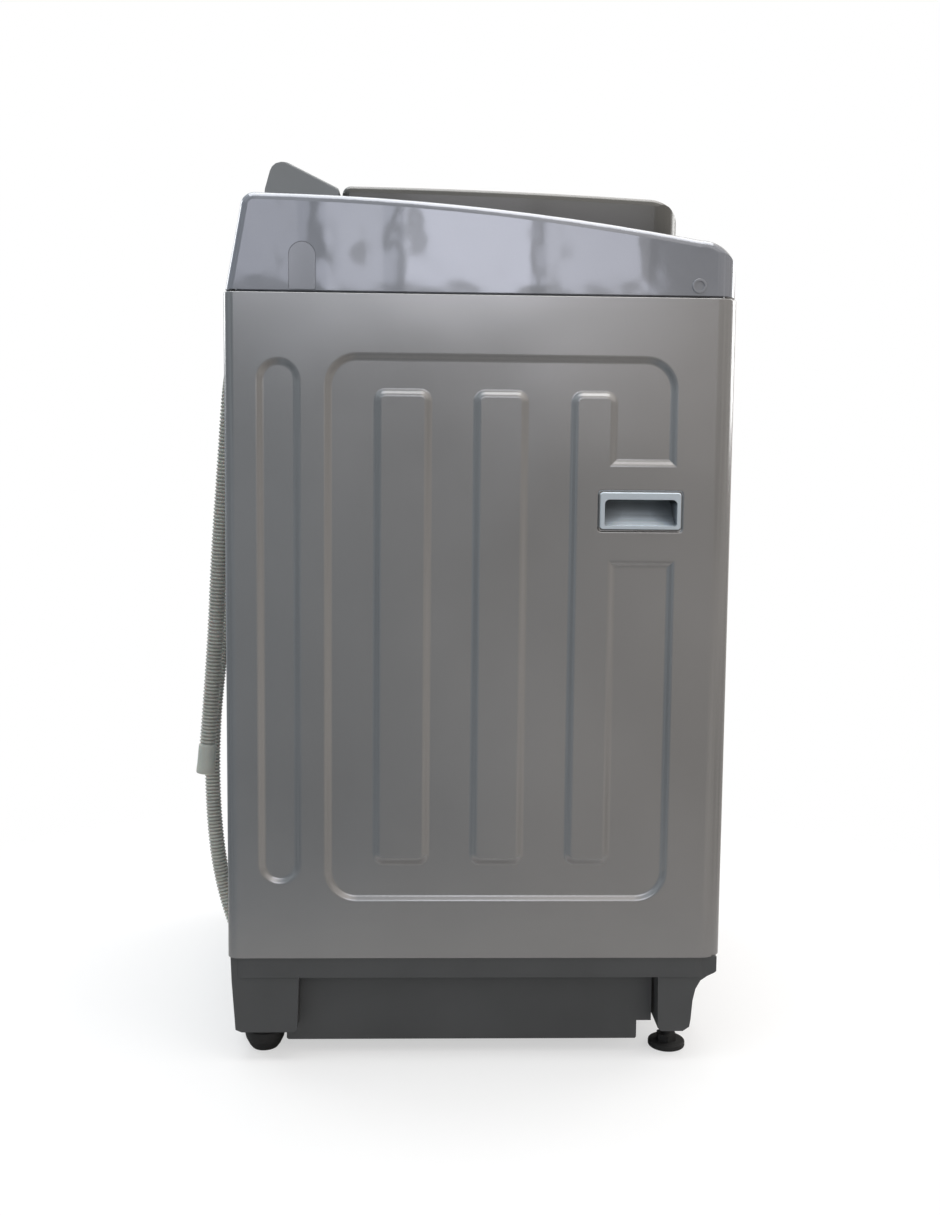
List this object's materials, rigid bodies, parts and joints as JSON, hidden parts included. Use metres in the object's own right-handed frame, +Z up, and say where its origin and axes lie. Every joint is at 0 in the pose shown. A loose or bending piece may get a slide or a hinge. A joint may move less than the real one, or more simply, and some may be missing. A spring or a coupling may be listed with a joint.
{
  "type": "top load washing machine",
  "caption": "Free-standing top load washing machine with a smoked lid, sloped button console, pressed steel sides, carry handles, drain hose and levelling feet.",
  "frame": {"origin": "on the floor, at the centre of the machine's box, measured without the drain hose and its cuff", "axes": "+Z up, -Y towards the front of the machine, +X to the right seen from the front"},
  "size_m": [0.5532, 0.6338, 1.01],
  "materials": {
    "silver_sheet": "semi-gloss silver-grey film-coated steel sheet",
    "rear_sheet": "matt galvanised steel sheet",
    "housing_plastic": "glossy silver-lavender moulded plastic",
    "console_plastic": "satin grey moulded plastic",
    "fascia_plastic": "glossy dark printed panel",
    "window_glass": "dark tinted display pane",
    "button_plastic": "satin silver caps",
    "board": "green lacquered board",
    "lid_plastic": "glossy warm grey plastic",
    "lid_window": "smoked brown-grey toughened glass",
    "grip_plastic": "satin silver",
    "base_plastic": "fine-textured dark grey plastic",
    "black_rubber": "matt black rubber",
    "handle_plastic": "satin pale blue-grey plastic",
    "cap_plastic": "satin silver caps",
    "hose_plastic": "beige-grey corrugated polypropylene",
    "white_plastic": "white moulded plastic",
    "tub_plastic": "pale grey filled polypropylene",
    "zinc_steel": "zinc-plated steel",
    "stainless": "satin stainless steel",
    "cast_alloy": "cast aluminium",
    "motor_steel": "black lacquered steel",
    "blue_plastic": "soft blue filter plastic"
  },
  "bodies": {
    "cabinet": {"cabinet_wrap": "silver_sheet", "rear_panel": "rear_sheet", "rear_panel_screws": "zinc_steel", "base_frame": "base_plastic", "base_side_skirts": "base_plastic", "rear_feet": "black_rubber", "top_housing": "housing_plastic", "hinge_pins": "stainless", "front_screw_caps": "cap_plastic", "rear_screw_covers": "cap_plastic", "console_shell": "console_plastic", "control_fascia": "fascia_plastic", "display_window": "window_glass", "control_board": "board", "lid_lock": "white_plastic", "water_inlet_valve": "white_plastic", "dispenser_housing": "white_plastic", "pressure_sensor": "white_plastic", "hose_holder": "base_plastic", "power_cord_gland": "black_rubber", "drain_outlet": "base_plastic", "drain_hose": "hose_plastic", "hose_end_cuff": "hose_plastic", "suspension_rods": "zinc_steel", "suspension_brackets": "zinc_steel", "suspension_springs": "zinc_steel", "carry_handle_left": "handle_plastic", "carry_handle_right": "handle_plastic"},
    "lid": {"lid_frame": "lid_plastic", "lid_glass": "lid_window", "lid_grip": "grip_plastic", "lid_bumpers": "black_rubber"},
    "tub": {"outer_tub": "tub_plastic", "tub_cover": "tub_plastic", "tub_bracket": "zinc_steel", "suspension_cups": "black_rubber", "gearbox": "cast_alloy", "drive_motor": "motor_steel", "drain_valve": "white_plastic", "drive_belt": "black_rubber"},
    "basket": {"wash_basket": "stainless", "balance_ring": "tub_plastic", "lint_filters": "blue_plastic", "spin_shaft": "stainless"},
    "pulsator": {"pulsator": "tub_plastic", "pulsator_cap": "grip_plastic", "wash_shaft": "stainless"},
    "drive_pulley": {"drive_pulley": "cast_alloy"},
    "motor_pulley": {"motor_pulley": "cast_alloy"},
    "detergent_drawer": {"detergent_drawer": "white_plastic"},
    "front_foot_left": {"front_foot_left": "black_rubber"},
    "front_foot_right": {"front_foot_right": "black_rubber"},
    "power_button": {"power_button": "button_plastic"},
    "program_button": {"program_button": "button_plastic"},
    "water_level_button": {"water_level_button": "button_plastic"},
    "soak_button": {"soak_button": "button_plastic"},
    "rinse_button": {"rinse_button": "button_plastic"},
    "spin_button": {"spin_button": "button_plastic"},
    "delay_button": {"delay_button": "button_plastic"},
    "start_pause_button": {"start_pause_button": "button_plastic"}
  },
  "joints": [
    {"name": "lid_hinge", "type": "hinge", "parent": "cabinet", "child": "lid", "pos_m": [0, 0.1305, 0.98], "axis": [-1, 0, 0], "range_deg": [0, 100]},
    {"name": "tub_bounce", "type": "slide", "parent": "cabinet", "child": "tub", "axis": [0, 0, 1], "range_m": [-0.022, 0.01], "stiffness_N_per_m": 9000, "springref_m": 0.0361, "deforming": ["suspension_springs"]},
    {"name": "basket_spin", "type": "hinge", "parent": "tub", "child": "basket", "pos_m": [0, -0.016, 0.5], "axis": [0, 0, 1], "continuous": true},
    {"name": "pulsator_spin", "type": "hinge", "parent": "tub", "child": "pulsator", "pos_m": [0, -0.016, 0.3], "axis": [0, 0, 1], "continuous": true},
    {"name": "drive_pulley_spin", "type": "hinge", "parent": "tub", "child": "drive_pulley", "pos_m": [0, -0.016, 0.129], "axis": [0, 0, 1], "continuous": true},
    {"name": "motor_pulley_spin", "type": "hinge", "parent": "tub", "child": "motor_pulley", "pos_m": [0, -0.174, 0.129], "axis": [0, 0, 1], "continuous": true},
    {"name": "drawer_slide", "type": "slide", "parent": "cabinet", "child": "detergent_drawer", "axis": [0, -1, 0], "range_m": [0, 0.085]},
    {"name": "front_foot_left_screw", "type": "slide", "parent": "cabinet", "child": "front_foot_left", "axis": [0, 0, 1], "range_m": [-0.012, 0.004]},
    {"name": "front_foot_right_screw", "type": "slide", "parent": "cabinet", "child": "front_foot_right", "axis": [0, 0, 1], "range_m": [-0.012, 0.004]},
    {"name": "power_button_push", "type": "slide", "parent": "cabinet", "child": "power_button", "axis": [0, 0.4327, -0.9015], "range_m": [0, 0.0015], "stiffness_N_per_m": 600, "springref_m": -0.001},
    {"name": "program_button_push", "type": "slide", "parent": "cabinet", "child": "program_button", "axis": [0, 0.4327, -0.9015], "range_m": [0, 0.0015], "stiffness_N_per_m": 600, "springref_m": -0.001},
    {"name": "water_level_button_push", "type": "slide", "parent": "cabinet", "child": "water_level_button", "axis": [0, 0.4327, -0.9015], "range_m": [0, 0.0015], "stiffness_N_per_m": 600, "springref_m": -0.001},
    {"name": "soak_button_push", "type": "slide", "parent": "cabinet", "child": "soak_button", "axis": [0, 0.4327, -0.9015], "range_m": [0, 0.0015], "stiffness_N_per_m": 600, "springref_m": -0.001},
    {"name": "rinse_button_push", "type": "slide", "parent": "cabinet", "child": "rinse_button", "axis": [0, 0.4327, -0.9015], "range_m": [0, 0.0015], "stiffness_N_per_m": 600, "springref_m": -0.001},
    {"name": "spin_button_push", "type": "slide", "parent": "cabinet", "child": "spin_button", "axis": [0, 0.4327, -0.9015], "range_m": [0, 0.0015], "stiffness_N_per_m": 600, "springref_m": -0.001},
    {"name": "delay_button_push", "type": "slide", "parent": "cabinet", "child": "delay_button", "axis": [0, 0.4327, -0.9015], "range_m": [0, 0.0015], "stiffness_N_per_m": 600, "springref_m": -0.001},
    {"name": "start_pause_button_push", "type": "slide", "parent": "cabinet", "child": "start_pause_button", "axis": [0, 0.4327, -0.9015], "range_m": [0, 0.0015], "stiffness_N_per_m": 600, "springref_m": -0.001}
  ],
  "couplings": [
    {"joint": "drive_pulley_spin", "follows": "pulsator_spin", "ratio": 4},
    {"joint": "motor_pulley_spin", "follows": "pulsator_spin", "ratio": 10}
  ]
}
